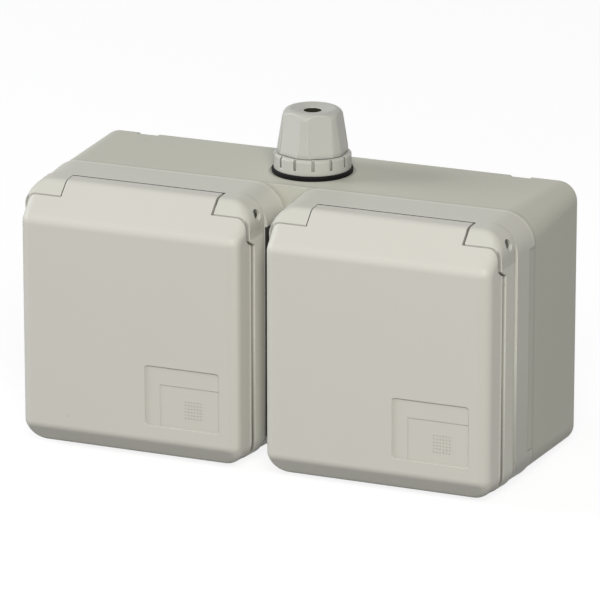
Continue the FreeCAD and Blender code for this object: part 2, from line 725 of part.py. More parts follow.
def make_gland_body():
    z0 = entry_seat_z() + washer_thickness
    collar = rod(collar_diameter / 2, (0, gland_y, z0), (0, 0, 1), collar_height)
    rim = [e for e in collar.Edges if abs(e.CenterOfMass.z - z0 - collar_height) < 0.01]
    collar = collar.makeChamfer(collar_chamfer, rim)
    r = collar_diameter / 2
    groove = box(r - collar_groove_depth, r + 1, -collar_groove_width / 2, collar_groove_width / 2,
                 z0 + collar_groove_base, z0 + collar_height + 1)
    for i in range(collar_grooves):
        cut = groove.copy()
        cut.rotate(Vec(0, 0, 0), Vec(0, 0, 1), collar_turn + 360.0 * i / collar_grooves)
        cut.translate(Vec(0, gland_y, 0))
        collar = collar.cut(cut)
    spigot_z = entry_seat_z() - base_wall - spigot_below
    length = z0 + collar_height + neck_above_collar - spigot_z
    body = collar.fuse(rod(spigot_diameter / 2, (0, gland_y, spigot_z), (0, 0, 1), length))
    return body.cut(rod(gland_bore / 2, (0, gland_y, spigot_z - 1), (0, 0, 1), length + 2))


def make_gland_washer():
    z0 = entry_seat_z()
    ring = rod(washer_diameter / 2, (0, gland_y, z0), (0, 0, 1), washer_thickness)
    edges = [e for e in ring.Edges if e.Length > washer_diameter]
    ring = ring.makeFillet(0.4, edges)
    return ring.cut(rod(spigot_diameter / 2, (0, gland_y, z0 - 1), (0, 0, 1), 5))


def dome_base_z():
    return entry_seat_z() + washer_thickness + collar_height + 0.1


def make_dome_nut():
    z0 = dome_base_z()
    r0, r1 = dome_diameter / 2, dome_top_diameter / 2
    top = z0 + dome_height
    outline = [Vec(0, gland_y, z0), Vec(r0, gland_y, z0), Vec(r0, gland_y, z0 + dome_straight),
               Vec(r1, gland_y, top), Vec(0, gland_y, top)]
    face = Part.Face(Part.makePolygon(outline + outline[:1]))
    dome = face.revolve(Vec(0, gland_y, 0), Vec(0, 0, 1), 360)
    edges = [e for e in dome.Edges if abs(e.CenterOfMass.z - top) < 0.01 and e.Length > 10]
    dome = dome.makeFillet(dome_round, edges)
    # flats for a spanner, leaning in with the cone
    lean = math.degrees(math.atan2(r0 - r1, dome_height - dome_straight))
    for i in range(dome_flats):
        cut = box(r0 - dome_flat_depth, r0 + 5, -dome_flat_width / 2, dome_flat_width / 2, z0 - 5,
                  top + 1)
        cut.rotate(Vec(r0, 0, z0), Vec(0, 1, 0), -lean)
        cut.rotate(Vec(0, 0, 0), Vec(0, 0, 1), 360.0 * i / dome_flats + dome_flat_turn)
        cut.translate(Vec(0, gland_y, 0))
        dome = dome.cut(cut)
    dish = Part.makeCone(cable_bore / 2, dome_dish_diameter / 2, dome_dish_depth,
                         Vec(0, gland_y, top - dome_dish_depth), Vec(0, 0, 1))
    dome = dome.cut(dish)
    inside = dome_height - dome_top_thickness
    dome = dome.cut(rod(spigot_diameter / 2 + thread_clearance, (0, gland_y, z0 - 1), (0, 0, 1), inside + 1))
    return dome.cut(rod(cable_bore / 2, (0, gland_y, z0), (0, 0, 1), dome_height + 1))


def make_gland_seal():
    z_top = dome_base_z() - 0.1 + neck_above_collar
    length = 9.0
    outer = gland_bore / 2 - insert_clearance
    seal = rod(outer, (0, gland_y, z_top - length), (0, 0, 1), length)
    return seal.cut(rod(cable_bore / 2, (0, gland_y, z_top - length - 1), (0, 0, 1), length + 2))


def make_lock_nut():
    z1 = entry_seat_z() - base_wall - seat_clearance
    across = lock_nut_across / 2 / math.cos(math.pi / 6)
    corners = [Vec(across * math.cos(math.pi * i / 3), gland_y + across * math.sin(math.pi * i / 3),
                   z1 - lock_nut_height) for i in range(6)]
    nut = Part.Face(Part.makePolygon(corners + corners[:1])).extrude(Vec(0, 0, lock_nut_height))
    return nut.cut(rod(spigot_diameter / 2, (0, gland_y, z1 - 10), (0, 0, 1), 12))


def save(name, shape, shift=0.0):
    shape = shape.copy()
    shape.translate(Vec(shift, 0, 0))
    shape.exportStep("parts/" + name + ".step")
    print(name, shape.isValid(), len(shape.Solids), round(shape.Volume))


save("base_box", make_base())
save("gland_body", make_gland_body())
save("gland_washer", make_gland_washer())
save("gland_dome_nut", make_dome_nut())
save("gland_seal", make_gland_seal())
save("gland_lock_nut", make_lock_nut())

coil, rear_leg, near_leg = make_hinge_spring()
unit_pieces = {
    "lid": make_lid(),
    "lid_seal": make_lid_seal(),
    "cover_frame": make_cover_frame(),
    "cover_gasket": make_cover_gasket(),
    "cover_screws": make_cover_screws(),
    "hinge_pin": make_hinge_pin(),
    "hinge_spring": coil.fuse(rear_leg).fuse(near_leg),
    "socket_face": make_socket_face(),
    "earth_bracket": make_earth_bracket(),
    "contact_carrier": make_carrier(),
    "line_contact": make_contact("line"),
    "neutral_contact": make_contact("neutral"),
    "terminal_screws": make_terminal_screws(),
    "insert_screws": make_insert_screws(),
    "face_screw": make_face_screw(),
}
for side, centre_x in (("left", -unit_pitch / 2), ("right", unit_pitch / 2)):
    for name, shape in unit_pieces.items():
        save(side + "_" + name, shape, centre_x)
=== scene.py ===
import math
import bpy
from mathutils import Matrix, Vector


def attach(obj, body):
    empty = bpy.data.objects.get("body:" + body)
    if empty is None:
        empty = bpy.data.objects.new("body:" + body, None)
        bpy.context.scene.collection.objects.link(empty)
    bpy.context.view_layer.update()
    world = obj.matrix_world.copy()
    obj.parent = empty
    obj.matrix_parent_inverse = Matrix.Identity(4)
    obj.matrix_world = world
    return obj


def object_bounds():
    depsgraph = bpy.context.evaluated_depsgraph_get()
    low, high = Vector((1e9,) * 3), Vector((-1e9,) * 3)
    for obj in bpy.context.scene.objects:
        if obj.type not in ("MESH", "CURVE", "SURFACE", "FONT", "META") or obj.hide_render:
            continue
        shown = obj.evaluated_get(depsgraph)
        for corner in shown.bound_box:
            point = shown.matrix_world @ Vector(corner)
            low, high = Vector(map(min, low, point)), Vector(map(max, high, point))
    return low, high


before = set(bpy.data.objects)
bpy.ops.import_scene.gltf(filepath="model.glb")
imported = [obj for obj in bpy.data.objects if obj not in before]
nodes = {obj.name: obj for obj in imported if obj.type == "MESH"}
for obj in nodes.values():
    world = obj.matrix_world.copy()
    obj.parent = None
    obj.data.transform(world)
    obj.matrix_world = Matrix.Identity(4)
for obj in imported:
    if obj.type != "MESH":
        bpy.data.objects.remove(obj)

cadLow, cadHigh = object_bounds()
mm = 0.001
sides = ("left", "right")

# Where the two units stand across the box and the gland stands in its depth, in millimetres
unitCentre = {"left": -37.5, "right": 37.5}
glandCentre = -18.1
print("frame loaded:", len(nodes), "nodes")


# Small helpers for node trees. A place is a column and a row in the drawing of the tree.
treeGrid = (200, -160)


def addNode(tree, kind, place, settings=None, values=None):
    node = tree.nodes.new(kind)
    node.location = (place[0] * treeGrid[0], place[1] * treeGrid[1])
    for name, value in (settings or {}).items():
        setattr(node, name, value)
    for name, value in (values or {}).items():
        node.inputs[name].default_value = value
    return node


# Gives a socket a constant or links it to another socket
def feed(tree, socket, value):
    if isinstance(value, (int, float, tuple)):
        socket.default_value = value
    else:
        tree.links.new(value, socket)


def mathNode(tree, operation, place, first, second=None, clamp=False):
    node = addNode(tree, "ShaderNodeMath", place, {"operation": operation, "use_clamp": clamp})
    feed(tree, node.inputs[0], first)
    if second is not None:
        feed(tree, node.inputs[1], second)
    return node.outputs[0]


# Adds or multiplies several values in a row or finds the largest, and clamps only the last result
def chain(tree, operation, place, *values, clamp=False):
    result = values[0]
    for step, value in enumerate(values[1:]):
        isLast = step == len(values) - 2
        result = mathNode(tree, operation, (place[0] + step, place[1]), result, value, clamp and isLast)
    return result


def mixColour(tree, place, factor, first, second):
    node = addNode(tree, "ShaderNodeMix", place, {"data_type": "RGBA"})
    for socket, value in ((node.inputs[0], factor), (node.inputs[6], first), (node.inputs[7], second)):
        feed(tree, socket, value)
    return node.outputs[2]


def vectorNode(tree, operation, place, first, second=None, scale=None):
    node = addNode(tree, "ShaderNodeVectorMath", place, {"operation": operation})
    feed(tree, node.inputs[0], first)
    if second is not None:
        feed(tree, node.inputs[1], second)
    if scale is not None:
        feed(tree, node.inputs["Scale"], scale)
    return node.outputs["Value"] if operation == "DOT_PRODUCT" else node.outputs[0]


def splitVector(tree, place, vector):
    node = addNode(tree, "ShaderNodeSeparateXYZ", place)
    tree.links.new(vector, node.inputs[0])
    return node.outputs["X"], node.outputs["Y"], node.outputs["Z"]


# Starts a shader group with its sockets. Its output stands in the column named end.
def newGroup(name, inputs, outputs, end):
    group = bpy.data.node_groups.new(name, "ShaderNodeTree")
    for title, kind, value in inputs:
        socket = group.interface.new_socket(title, in_out="INPUT", socket_type=kind)
        socket.default_value = value
    for title, kind in outputs:
        group.interface.new_socket(title, in_out="OUTPUT", socket_type=kind)
    return group, addNode(group, "NodeGroupInput", (-6, 0)), addNode(group, "NodeGroupOutput", (end, 0))


# The standard curve from a colour as it is seen, 0 to 255, to the light that it stands for
def toLinear(red, green, blue):
    def oneChannel(value):
        value = value / 255
        return value / 12.92 if value <= 0.04045 else ((value + 0.055) / 1.055) ** 2.4
    return (oneChannel(red), oneChannel(green), oneChannel(blue), 1.0)


# The moulded grain: scales per metre, levels of detail, and how large, rare and dark the specks are
grainLook = {"fineDetail": 3.0, "fineRough": 0.6, "slowScale": 28.0, "slowDetail": 4.0,
             "speckScale": 90.0, "speckSize": 0.028, "speckRarity": 0.82,
             "speckColour": (0.12, 0.11, 0.09, 1)}


# Shader group: the fine spark-eroded grain of a moulding, its slow change of tone and rare dark specks
def buildMouldedGrain():
    group, given, out = newGroup(
        "mouldedGrain",
        [("Colour", "NodeSocketColor", (0.5, 0.5, 0.5, 1)),
         ("Grain Scale", "NodeSocketFloat", 2200.0),
         ("Tone Spread", "NodeSocketFloat", 0.05),
         ("Roughness", "NodeSocketFloat", 0.5),
         ("Roughness Spread", "NodeSocketFloat", 0.08),
         ("Specks", "NodeSocketFloat", 0.0)],
        [("Colour", "NodeSocketColor"), ("Roughness", "NodeSocketFloat"), ("Height", "NodeSocketFloat")],
        end=6)
    links = group.links
    place = addNode(group, "ShaderNodeTexCoord", (-6, 3)).outputs["Object"]
    fine = addNode(group, "ShaderNodeTexNoise", (-4, 1), values={
        "Detail": grainLook["fineDetail"], "Roughness": grainLook["fineRough"]})
    slow = addNode(group, "ShaderNodeTexNoise", (-4, 3), values={
        "Scale": grainLook["slowScale"], "Detail": grainLook["slowDetail"]})
    spots = addNode(group, "ShaderNodeTexVoronoi", (-4, 5), values={"Scale": grainLook["speckScale"]})
    for texture in (fine, slow, spots):
        links.new(place, texture.inputs["Vector"])
    links.new(given.outputs["Grain Scale"], fine.inputs["Scale"])

    tone = mathNode(group, "SUBTRACT", (-2, 3), slow.outputs["Fac"], 0.5)
    tone = mathNode(group, "MULTIPLY", (-1, 3), tone, given.outputs["Tone Spread"])
    tone = mathNode(group, "ADD", (0, 3), tone, 1.0)
    shade = vectorNode(group, "SCALE", (1, 2), given.outputs["Colour"], scale=tone)
    near = mathNode(group, "LESS_THAN", (-2, 5), spots.outputs["Distance"], grainLook["speckSize"])
    pick = addNode(group, "ShaderNodeSeparateColor", (-2, 6))
    links.new(spots.outputs["Color"], pick.inputs[0])
    rare = mathNode(group, "GREATER_THAN", (-1, 6), pick.outputs[0], grainLook["speckRarity"])
    speck = chain(group, "MULTIPLY", (0, 5), near, rare, given.outputs["Specks"])
    links.new(mixColour(group, (3, 3), speck, shade, grainLook["speckColour"]), out.inputs["Colour"])

    change = mathNode(group, "SUBTRACT", (-2, 0), fine.outputs["Fac"], 0.5)
    change = mathNode(group, "MULTIPLY", (-1, 0), change, given.outputs["Roughness Spread"])
    change = mathNode(group, "ADD", (0, 0), change, given.outputs["Roughness"])
    links.new(change, out.inputs["Roughness"])
    links.new(fine.outputs["Fac"], out.inputs["Height"])
    return group


# Edges and crevices: how far an edge is rounded and how far a crevice reaches, in millimetres, how strongly
# the bend of an edge shows, and the colours of the painted highlight on edges and the painted shade in
# crevices
edgeLook = {"samples": 6, "round": 0.3, "reach": 1.6, "gain": 3.0,
            "paintedHighlightTint": (0.86, 0.85, 0.79, 1), "paintedShadeTint": (0.10, 0.095, 0.08, 1)}

# Where painted light and shade are drawn on the covers and the base, in millimetres
seam = {
    "beside": 33.75, "half": 0.5,      # the seam beside each lid, from the unit's middle, and half its width
    "front": -52.5,                    # the seam shows only in front of this
    "forward": -0.95,                  # how squarely a ledge faces the front
    "fade": -33.0,                     # how fast ledges and flange darken downwards, per metre
    "behind": -47.2,                   # the flange and the gap begin behind this
    "gap": 2.3, "gapTop": 29.5,        # half the gap between the covers, and how high its tones reach
    "gapLeft": -4.5, "gapRight": 5.0,  # how far the tones beside the gap reach to either side
}

# The inputs of the edge group: each one's key in a material's dictionary, its usual value and its unit
edgeInputs = {
    "Edge Lift": ("edgeLift", 0.5, 1), "Crevice Dark": ("creviceDark", 0.5, 1),
    "Side Lean": ("lean", 0, 1), "Lean From": ("leanFrom", 0, mm), "Lean Below": ("leanBelow", 0, mm),
    "Line At": ("lineAt", 0, mm), "Line Half": ("lineHalf", 0, mm), "Line Lift": ("lineLift", 0, 1),
    "Line Below": ("lineBelow", 100, mm), "Seam Dark": ("seamDark", 0, 1),
    "Ledge Dark": ("ledgeDark", 0, 1), "Front Dark": ("frontDark", 0, 1),
    "Flange Dark": ("flangeDark", 0, 1), "Gap Dark": ("gapDark", 0, 1),
    "Gap Left Lift": ("gapLeftLift", 0, 1), "Gap Right Lift": ("gapRightLift", 0, 1),
    "Gap Ledge Dark": ("gapLedgeDark", 0, 1),
}


# The edge group's factor for the painted light and shade: a painted highlight or dark line along a parting
# line or rear edge, painted light and shade beside the gap, and painted shade on ledges, seam, flange and
# gap
def buildPaintedLightAndShade(group, given, surface, across, back, height):
    wanted = given.outputs
    # A painted highlight or painted dark line along a parting line or rear edge
    fromLine = mathNode(group, "SUBTRACT", (-2, 7), back, wanted["Line At"])
    fromLine = mathNode(group, "ABSOLUTE", (-1, 7), fromLine)
    onLine = mathNode(group, "LESS_THAN", (0, 7), fromLine, wanted["Line Half"])
    underLine = mathNode(group, "LESS_THAN", (0, 8), height, wanted["Line Below"])
    line = chain(group, "MULTIPLY", (1, 7), onLine, underLine, wanted["Line Lift"])

    # Painted light and shade on either side of the gap between the covers
    lowGap = mathNode(group, "LESS_THAN", (-2, 15), height, seam["gapTop"] * mm)
    fromLeft = mathNode(group, "GREATER_THAN", (-2, 17), across, seam["gapLeft"] * mm)
    beforeMiddle = mathNode(group, "LESS_THAN", (-2, 18), across, 0.0)
    onLeft = chain(group, "MULTIPLY", (-1, 17), beforeMiddle, fromLeft, lowGap)
    toRight = mathNode(group, "LESS_THAN", (-2, 19), across, seam["gapRight"] * mm)
    pastMiddle = mathNode(group, "GREATER_THAN", (-2, 20), across, 0.0)
    onRight = chain(group, "MULTIPLY", (-1, 19), pastMiddle, toRight, lowGap)
    leftLift = mathNode(group, "MULTIPLY", (1, 17), onLeft, wanted["Gap Left Lift"])
    rightLift = mathNode(group, "MULTIPLY", (1, 19), onRight, wanted["Gap Right Lift"])
    gain = chain(group, "ADD", (3, 7), line, 1.0, leftLift, rightLift)

    # Painted shade on faces that look forward: the seam beside each lid and the ledges, darker downwards
    facing = splitVector(group, (-3, 9), surface.outputs["Normal"])[1]
    forward = mathNode(group, "LESS_THAN", (-2, 9), facing, seam["forward"])
    fromMiddle = mathNode(group, "ABSOLUTE", (-2, 10), across)
    fromUnit = mathNode(group, "SUBTRACT", (-1, 10), fromMiddle, unitCentre["right"] * mm)
    fromUnit = mathNode(group, "ABSOLUTE", (0, 10), fromUnit)
    fromSeam = mathNode(group, "SUBTRACT", (1, 10), fromUnit, seam["beside"] * mm)
    fromSeam = mathNode(group, "ABSOLUTE", (2, 10), fromSeam)
    besideLid = mathNode(group, "LESS_THAN", (3, 10), fromSeam, seam["half"] * mm)
    atFront = mathNode(group, "LESS_THAN", (3, 11), back, seam["front"] * mm)
    atSeam = chain(group, "MULTIPLY", (4, 10), besideLid, atFront, wanted["Seam Dark"])
    fade = mathNode(group, "MULTIPLY", (1, 12), height, seam["fade"], clamp=True)
    low = mathNode(group, "MULTIPLY", (2, 12), fade, wanted["Ledge Dark"])
    gapLedge = mathNode(group, "MULTIPLY", (2, 18), onLeft, wanted["Gap Ledge Dark"])
    ledges = chain(group, "ADD", (6, 10), atSeam, low, wanted["Front Dark"], gapLedge)
    ledges = mathNode(group, "MULTIPLY", (9, 10), ledges, forward)

    # Painted shade deep in the gap between the covers and on the flange, darker downwards
    nearMiddle = mathNode(group, "LESS_THAN", (-1, 13), fromMiddle, seam["gap"] * mm)
    behind = mathNode(group, "GREATER_THAN", (-1, 14), back, seam["behind"] * mm)
    inGap = chain(group, "MULTIPLY", (0, 13), nearMiddle, behind, lowGap, wanted["Gap Dark"])
    flange = chain(group, "MULTIPLY", (2, 14), fade, behind, wanted["Flange Dark"])
    shade = chain(group, "ADD", (10, 10), ledges, flange, inGap, clamp=True)
    lit = mathNode(group, "SUBTRACT", (12, 10), 1.0, shade)
    return mathNode(group, "MULTIPLY", (13, 8), gain, lit)


# The edge group's normal: side faces lean towards the front where a real moulding tapers
def buildLeaningNormal(group, given, rounded, back, height):
    sideways = mathNode(group, "ABSOLUTE", (-2, -4), splitVector(group, (-3, -4), rounded)[0])
    inFront = mathNode(group, "LESS_THAN", (-2, -2), back, given.outputs["Lean From"])
    below = mathNode(group, "LESS_THAN", (-2, -3), height, given.outputs["Lean Below"])
    lean = chain(group, "MULTIPLY", (-1, -2), inFront, below, sideways, given.outputs["Side Lean"])
    shift = vectorNode(group, "SCALE", (2, -2), (0, -1, 0), scale=lean)
    total = vectorNode(group, "ADD", (3, -1), rounded, shift)
    return vectorNode(group, "NORMALIZE", (4, -1), total)


# Shader group: rounds every sharp edge a little, paints a highlight on edges and shade in crevices, and adds
# the painted light and shade of the drawn tones, and the lean
def buildEdgeHighlightAndShade():
    inputs = [("Colour", "NodeSocketColor", (0.5, 0.5, 0.5, 1))]
    inputs += [(title, "NodeSocketFloat", 0.0) for title in edgeInputs]
    group, given, out = newGroup(
        "edgeHighlightAndShade", inputs, [("Colour", "NodeSocketColor"), ("Normal", "NodeSocketVector")], end=16)
    samples = {"samples": edgeLook["samples"]}
    bevel = addNode(group, "ShaderNodeBevel", (-4, 1), samples, {"Radius": edgeLook["round"] * mm})
    rounded = bevel.outputs[0]
    closeBy = addNode(group, "ShaderNodeAmbientOcclusion", (-4, 5), samples, {
        "Distance": edgeLook["reach"] * mm})
    surface = addNode(group, "ShaderNodeNewGeometry", (-4, 3))
    place = addNode(group, "ShaderNodeTexCoord", (-4, -2)).outputs["Object"]
    across, back, height = splitVector(group, (-3, -2), place)

    # Painted highlight: the colour turns lighter where the rounded edge bends away from the face
    same = vectorNode(group, "DOT_PRODUCT", (-2, 2), rounded, surface.outputs["Normal"])
    bend = mathNode(group, "SUBTRACT", (-1, 2), 1.0, same)
    bend = mathNode(group, "MULTIPLY", (0, 2), bend, edgeLook["gain"], clamp=True)
    # Painted shade: the colour turns darker in crevices, where the ambient occlusion finds near surfaces
    crevice = mathNode(group, "SUBTRACT", (-2, 5), 1.0, closeBy.outputs["AO"])
    crevice = mathNode(group, "MULTIPLY", (-1, 5), crevice, given.outputs["Crevice Dark"], clamp=True)
    unclosed = mathNode(group, "SUBTRACT", (0, 4), 1.0, crevice)
    edge = chain(group, "MULTIPLY", (1, 3), bend, unclosed, given.outputs["Edge Lift"], clamp=True)
    paintedEdges = mixColour(group, (3, 2), edge, given.outputs["Colour"], edgeLook["paintedHighlightTint"])
    paintedEdges = mixColour(group, (4, 2), crevice, paintedEdges, edgeLook["paintedShadeTint"])

    factor = buildPaintedLightAndShade(group, given, surface, across, back, height)
    group.links.new(vectorNode(group, "SCALE", (14, 4), paintedEdges, scale=factor), out.inputs["Colour"])
    group.links.new(buildLeaningNormal(group, given, rounded, back, height), out.inputs["Normal"])
    return group


grainGroup = buildMouldedGrain()
edgeGroup = buildEdgeHighlightAndShade()
print("shader groups built")

# Plastics: colours as they are seen, grain per metre, how strongly the grain shows as relief, spread of
# tone, roughness and share of specks, and then the painted highlights and shade that the edge group draws,
# with places in millimetres
plastics = {
    "lidPlastic": {
        "colour": (197, 195, 186), "grain": 2600, "bump": 0.30, "tone": 0.03, "rough": 0.52, "specks": 0.6,
        "lean": 0.25, "leanFrom": -53.2, "leanBelow": 100,
        # The lid: a painted highlight along its rear edge, and painted light and shade on it beside the gap
        "lineAt": -53.9, "lineHalf": 0.6, "lineLift": 0.25, "lineBelow": 26,
        "gapLeftLift": -0.08, "gapRightLift": 0.15},
    "framePlastic": {
        "colour": (196, 195, 185), "grain": 2600, "bump": 0.30, "tone": 0.03, "rough": 0.50, "specks": 0.3,
        "lean": 0.2, "leanFrom": -46.9, "leanBelow": 28,
        # The frame: a painted highlight along the flange's rear edge, painted shade at the seam, ledges,
        # flange and gap, and painted light on its side in the gap
        "lineAt": -36.0, "lineHalf": 0.7, "lineLift": 0.1,
        "seamDark": 0.32, "ledgeDark": 0.3, "flangeDark": 0.12,
        "gapDark": 0.9, "gapLeftLift": 0.08, "gapLedgeDark": 0.12},
    "basePlastic": {
        "colour": (191, 191, 178), "grain": 2200, "bump": 0.35, "tone": 0.04, "rough": 0.55, "specks": 0.3,
        # The base: a painted dark line of shade behind the flange and painted shade on its front faces
        "lineAt": -34.4, "lineHalf": 0.9, "lineLift": -0.1, "frontDark": 0.14},
    # The dots' plastic is darker than the lid's: painted shade of the raised dots
    "shadedMarkPlastic": {
        "colour": (176, 174, 164), "grain": 2600, "bump": 0.30, "tone": 0.03, "rough": 0.52, "specks": 0.0},
    "glandPlastic": {
        "colour": (179, 179, 171), "grain": 3000, "bump": 0.15, "tone": 0.03, "rough": 0.40, "specks": 0.0,
        # The gland: a strong painted highlight on its edges and deep painted shade in its grooves
        "edgeLift": 1.0, "creviceDark": 0.9},
    "insertPlastic": {
        "colour": (226, 224, 214), "grain": 3200, "bump": 0.06, "tone": 0.02, "rough": 0.24, "specks": 0.0},
    "carrierPlastic": {
        "colour": (186, 178, 160), "grain": 3000, "bump": 0.20, "tone": 0.05, "rough": 0.45, "specks": 0.0},
}

# Rubbers: the gland's washer, the sleeve in its nut, dark partly as painted shade of the bore, and the
# closed-cell seals
rubbers = {
    "washerRubber": {"colour": (9, 9, 8), "grain": 1800, "rough": 0.75, "shine": 0.15},
    "sleeveRubber": {"colour": (34, 31, 22), "grain": 1800, "rough": 0.75, "shine": 0.15},
    "sealRubber": {"colour": (66, 66, 64), "grain": 1500, "rough": 0.7, "shine": 0.4},
}

# Metals: plated steel of the screws, the dull pins darkened as painted shade of their holes, the springs and
# the brass of the contacts
metals = {
    "platedSteel": {"colour": (188, 190, 190), "rough": 0.28, "scratch": 0.25},
    # Painted shade: the pins are darker so that their holes read dark
    "shadedPinSteel": {"colour": (84, 83, 78), "rough": 0.45, "scratch": 0.2},
    "springSteel": {"colour": (150, 152, 154), "rough": 0.22, "scratch": 0.15},
    "contactBrass": {"colour": (206, 178, 112), "rough": 0.26, "scratch": 0.2},
}

# What all materials of a family share; depths of relief and rounding in millimetres
family = {
    "plastic": {"ior": 1.52, "deep": 0.05},
    "rubber": {"tone": 0.2, "spread": 0.2, "bump": 0.4, "deep": 0.08},
    "metal": {"grain": 900.0, "tone": 0.12, "bump": 0.15, "deep": 0.03, "round": 0.1},
}


def startMaterial(name, look, values):
    material = bpy.data.materials.new(name)
    material.use_nodes = True
    tree = material.node_tree
    shader = tree.nodes["Principled BSDF"]
    grain = addNode(tree, "ShaderNodeGroup", (-4, 0), {"node_tree": grainGroup}, {
        "Colour": toLinear(*look["colour"]), "Roughness": look["rough"], **values})
    tree.links.new(grain.outputs["Roughness"], shader.inputs["Roughness"])
    return material, tree, shader, grain


def addRelief(tree, shader, grain, strength, deep, normal=None):
    bump = addNode(tree, "ShaderNodeBump", (-1, 2), values={"Strength": strength, "Distance": deep * mm})
    tree.links.new(grain.outputs["Height"], bump.inputs["Height"])
    if normal is not None:
        tree.links.new(normal, bump.inputs["Normal"])
    tree.links.new(bump.outputs["Normal"], shader.inputs["Normal"])


def makePlastic(name, look):
    shared = family["plastic"]
    material, tree, shader, grain = startMaterial(name, look, {
        "Grain Scale": look["grain"], "Tone Spread": look["tone"], "Specks": look["specks"]})
    shader.inputs["IOR"].default_value = shared["ior"]
    edges = addNode(tree, "ShaderNodeGroup", (-2, 0), {"node_tree": edgeGroup})
    for title, (key, usual, unit) in edgeInputs.items():
        edges.inputs[title].default_value = look.get(key, usual) * unit
    tree.links.new(grain.outputs["Colour"], edges.inputs["Colour"])
    tree.links.new(edges.outputs["Colour"], shader.inputs["Base Color"])
    addRelief(tree, shader, grain, look["bump"], shared["deep"], edges.outputs["Normal"])
    return material


def makeRubber(name, look):
    shared = family["rubber"]
    material, tree, shader, grain = startMaterial(name, look, {
        "Grain Scale": look["grain"], "Tone Spread": shared["tone"], "Roughness Spread": shared["spread"]})
    shader.inputs["Specular IOR Level"].default_value = look["shine"]
    tree.links.new(grain.outputs["Colour"], shader.inputs["Base Color"])
    addRelief(tree, shader, grain, shared["bump"], shared["deep"])
    return material


def makeMetal(name, look):
    shared = family["metal"]
    material, tree, shader, grain = startMaterial(name, look, {
        "Grain Scale": shared["grain"], "Tone Spread": shared["tone"], "Roughness Spread": look["scratch"]})
    shader.inputs["Metallic"].default_value = 1.0
    tree.links.new(grain.outputs["Colour"], shader.inputs["Base Color"])
    rounded = addNode(tree, "ShaderNodeBevel", (-3, 3), {"samples": edgeLook["samples"]}, {
        "Radius": shared["round"] * mm})
    addRelief(tree, shader, grain, shared["bump"], shared["deep"], rounded.outputs[0])
    return material


materials = {name: makePlastic(name, look) for name, look in plastics.items()}
materials.update({name: makeRubber(name, look) for name, look in rubbers.items()})
materials.update({name: makeMetal(name, look) for name, look in metals.items()})
print("materials built:", len(materials))

# Which finish each CAD piece has
finishes = {
    "base_box": "basePlastic", "gland_body": "glandPlastic", "gland_dome_nut": "glandPlastic",
    "gland_lock_nut": "glandPlastic", "gland_washer": "washerRubber", "gland_seal": "sealRubber",
}
sideFinishes = {
    "lid": "lidPlastic", "cover_frame": "framePlastic", "lid_seal": "sealRubber",
    "cover_gasket": "sealRubber", "cover_screws": "platedSteel", "hinge_pin": "shadedPinSteel",
    "hinge_spring": "springSteel", "socket_face": "insertPlastic", "earth_bracket": "contactBrass",
    "contact_carrier": "carrierPlastic", "line_contact": "contactBrass", "neutral_contact": "contactBrass",
    "terminal_screws": "platedSteel", "insert_screws": "platedSteel", "face_screw": "platedSteel",
}
for side in sides:
    finishes.update({side + "_" + piece: finish for piece, finish in sideFinishes.items()})
for name, finish in finishes.items():
    for slot in nodes[name].material_slots:
        slot.material = materials[finish]
print("finishes given to", len(finishes), "CAD pieces")


# Small pieces that the frame doesn't hold. Each rides a body of the frame.
def newPiece(name, mesh, body):
    piece = bpy.data.objects.new(name, mesh)
    bpy.context.scene.collection.objects.link(piece)
    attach(piece, body)


def newGeometryTree(name):
    tree = bpy.data.node_groups.new(name, "GeometryNodeTree")
    tree.interface.new_socket("Geometry", in_out="OUTPUT", socket_type="NodeSocketGeometry")
    return tree


# Ends a geometry tree, turns what it makes into one plain mesh and lets that ride its body
def bakeTree(name, tree, last, material, body):
    out = addNode(tree, "NodeGroupOutput", (10, 0))
    whole = addNode(tree, "GeometryNodeRealizeInstances", (8, 0))
    paint = addNode(tree, "GeometryNodeSetMaterial", (9, 0), values={"Material": material})
    tree.links.new(last, whole.inputs[0])
    tree.links.new(whole.outputs[0], paint.inputs["Geometry"])
    tree.links.new(paint.outputs[0], out.inputs[0])
    holder = bpy.data.objects.new(name, bpy.data.meshes.new(name + "Empty"))
    bpy.context.scene.collection.objects.link(holder)
    holder.modifiers.new(name, "NODES").node_group = tree
    depsgraph = bpy.context.evaluated_depsgraph_get()
    mesh = bpy.data.meshes.new_from_object(holder.evaluated_get(depsgraph))
    bpy.data.objects.remove(holder)
    newPiece(name, mesh, body)


# The ridge of the thread on the gland's neck, seen when the nut is turned up, in millimetres
thread = {
    "neck": 8.0, "from": 44.46, "to": 50.46, "inset": 0.3, "pitch": 1.5, "ridge": 0.07,
    "turnSteps": 64, "ridgeSides": 8,
}


def makeThread():
    tree = newGeometryTree("glandThread")
    height = thread["to"] - thread["from"] - 2 * thread["inset"]
    spiral = addNode(tree, "GeometryNodeCurveSpiral", (0, 0), values={
        "Resolution": thread["turnSteps"], "Rotations": height / thread["pitch"],
        "Start Radius": thread["neck"] * mm, "End Radius": thread["neck"] * mm, "Height": height * mm})
    ridge = addNode(tree, "GeometryNodeCurvePrimitiveCircle", (0, 2), values={
        "Resolution": thread["ridgeSides"], "Radius": thread["ridge"] * mm})
    sweep = addNode(tree, "GeometryNodeCurveToMesh", (2, 0), values={"Fill Caps": True})
    tree.links.new(spiral.outputs[0], sweep.inputs["Curve"])
    tree.links.new(ridge.outputs[0], sweep.inputs["Profile Curve"])
    move = addNode(tree, "GeometryNodeTransform", (4, 0), values={
        "Translation": (0, glandCentre * mm, (thread["from"] + thread["inset"]) * mm)})
    tree.links.new(sweep.outputs[0], move.inputs["Geometry"])
    bakeTree("glandThread", tree, move.outputs[0], materials["glandPlastic"], "housing")


# A plain field of small raised dots in each lid's label field, in millimetres, in a plastic darker than the
# lid's as painted shade of the dots. A dot's height is a share of its radius.
label = {
    "floor": -62.13, "centreX": 19.7, "centreZ": -22.0, "across": 6, "step": 0.95, "dot": 0.2, "high": 0.8,
    "segments": 14, "rings": 8,
}


